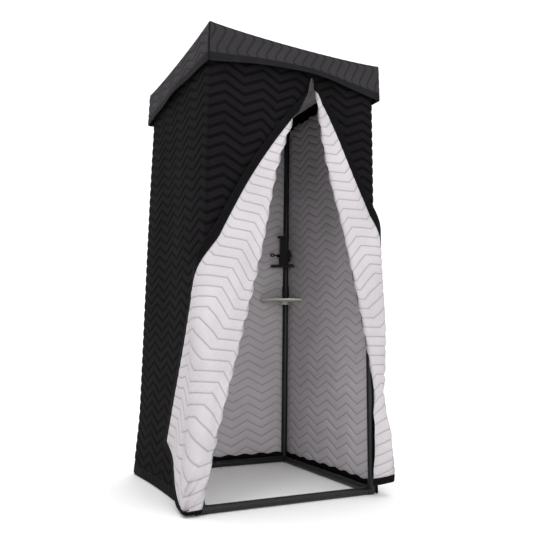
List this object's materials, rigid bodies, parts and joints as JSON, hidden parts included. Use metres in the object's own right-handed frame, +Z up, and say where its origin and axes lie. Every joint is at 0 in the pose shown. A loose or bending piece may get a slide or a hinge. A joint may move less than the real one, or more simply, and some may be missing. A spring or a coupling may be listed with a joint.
{
  "type": "quilted curtain booth",
  "caption": "Walk-in booth: push-fit tube frame under a quilted cover with fold-back door flaps, a slip-on roof cap, a clamped tablet holder and a corner shelf.",
  "frame": {"origin": "on the floor, under the centre of the booth", "axes": "+X to the right seen from the door, +Y to the back, +Z up"},
  "size_m": [0.952, 0.952, 2.1185],
  "materials": {
    "frame_tube": "black extruded pipe with a low sheen",
    "connector_plastic": "black moulded fitting",
    "cover_quilt": "black quilted outer cloth with a pale quilted lining",
    "lining_quilt": "pale grey-lavender quilted lining, black on its other face",
    "roof_quilt": "charcoal quilted cloth",
    "black_binding": "black woven binding tape",
    "holder_plastic": "black moulded plastic",
    "holder_rubber": "black rubber",
    "holder_hardware": "black screw and knob",
    "shelf_board": "cream laminate board",
    "shelf_collar": "pale moulded plastic"
  },
  "bodies": {
    "booth": {"back_rail_pocket": "black_binding", "back_wall": "cover_quilt", "back_wall_hem": "black_binding", "bottom_connector_back_left": "connector_plastic", "bottom_connector_back_right": "connector_plastic", "bottom_connector_front_left": "connector_plastic", "bottom_connector_front_right": "connector_plastic", "bottom_rail_back": "frame_tube", "bottom_rail_front": "frame_tube", "bottom_rail_left": "frame_tube", "bottom_rail_right": "frame_tube", "front_left_wall": "cover_quilt", "front_rail_pocket": "black_binding", "front_right_wall": "cover_quilt", "left_rail_pocket": "black_binding", "left_wall": "cover_quilt", "left_wall_hem": "black_binding", "lower_post_back_left": "frame_tube", "lower_post_back_right": "frame_tube", "lower_post_front_left": "frame_tube", "lower_post_front_right": "frame_tube", "post_couplings": "connector_plastic", "right_rail_pocket": "black_binding", "right_wall": "cover_quilt", "right_wall_hem": "black_binding", "top_connector_back_left": "connector_plastic", "top_connector_back_right": "connector_plastic", "top_connector_front_left": "connector_plastic", "top_connector_front_right": "connector_plastic", "top_rail_back": "frame_tube", "top_rail_front": "frame_tube", "top_rail_left": "frame_tube", "top_rail_right": "frame_tube", "upper_post_back_left": "frame_tube", "upper_post_back_right": "frame_tube", "upper_post_front_left": "frame_tube", "upper_post_front_right": "frame_tube"},
    "left_flap": {"left_flap": "lining_quilt", "left_flap_binding": "black_binding"},
    "left_flap_tip": {"left_flap_tip": "lining_quilt", "left_flap_tip_binding": "black_binding"},
    "right_flap": {"right_flap": "lining_quilt", "right_flap_binding": "black_binding"},
    "right_flap_tip": {"right_flap_tip": "lining_quilt", "right_flap_tip_binding": "black_binding"},
    "roof_cap": {"roof_panel": "roof_quilt", "left_skirt": "roof_quilt", "right_skirt": "roof_quilt", "front_skirt": "roof_quilt", "back_skirt": "roof_quilt"},
    "holder": {"holder_liner": "holder_rubber", "holder_clamp": "holder_plastic", "holder_pin": "holder_hardware"},
    "holder_screw": {"holder_screw": "holder_hardware"},
    "holder_head": {"holder_column": "holder_plastic", "holder_ledge": "holder_plastic"},
    "holder_clip": {"holder_clip": "holder_plastic"},
    "shelf": {"shelf_board": "shelf_board", "shelf_collar": "shelf_collar"},
    "shelf_screw": {"shelf_screw": "shelf_collar"}
  },
  "joints": [
    {"name": "left_flap_fold", "type": "hinge", "parent": "booth", "child": "left_flap", "pos_m": [-0.447, -0.461, 0.035], "axis": [0.2618, 0, 0.9651], "range_deg": [0, 179]},
    {"name": "left_flap_bend", "type": "hinge", "parent": "left_flap", "child": "left_flap_tip", "pos_m": [-0.471, -0.471, 0.6], "axis": [0, 0, 1], "range_deg": [0, 89.5]},
    {"name": "right_flap_fold", "type": "hinge", "parent": "booth", "child": "right_flap", "pos_m": [0.447, -0.461, 0.432], "axis": [0.2288, 0, -0.9735], "range_deg": [0, 179]},
    {"name": "right_flap_bend", "type": "hinge", "parent": "right_flap", "child": "right_flap_tip", "pos_m": [0.471, -0.471, 0.6], "axis": [0, 0, -1], "range_deg": [0, 89.5]},
    {"name": "roof_lift", "type": "slide", "parent": "booth", "child": "roof_cap", "axis": [0, 0, 1], "range_m": [0, 0.25]},
    {"name": "holder_slide", "type": "slide", "parent": "booth", "child": "holder", "axis": [0, 0, 1], "range_m": [-0.15, 0.55]},
    {"name": "holder_screw_turn", "type": "hinge", "parent": "holder", "child": "holder_screw", "pos_m": [0.345, 0.425, 1.225], "axis": [-1, 0, 0], "range_deg": [-180, 180]},
    {"name": "holder_tilt", "type": "hinge", "parent": "holder", "child": "holder_head", "pos_m": [0.40308, 0.40308, 1.225], "axis": [0.7071, -0.7071, 0], "range_deg": [-8, 8]},
    {"name": "holder_clip_slide", "type": "slide", "parent": "holder_head", "child": "holder_clip", "axis": [0, 0, 1], "range_m": [0, 0.05], "stiffness_N_per_m": 150, "springref_m": -0.03},
    {"name": "shelf_slide", "type": "slide", "parent": "booth", "child": "shelf", "axis": [0, 0, 1], "range_m": [-0.5, 0]},
    {"name": "shelf_screw_turn", "type": "hinge", "parent": "shelf", "child": "shelf_screw", "pos_m": [0.40379, 0.40379, 0.931], "axis": [-0.7071, -0.7071, 0], "range_deg": [-180, 180]}
  ],
  "couplings": [
    {"joint": "left_flap_bend", "follows": "left_flap_fold", "ratio": 0.5},
    {"joint": "right_flap_bend", "follows": "right_flap_fold", "ratio": 0.5}
  ]
}
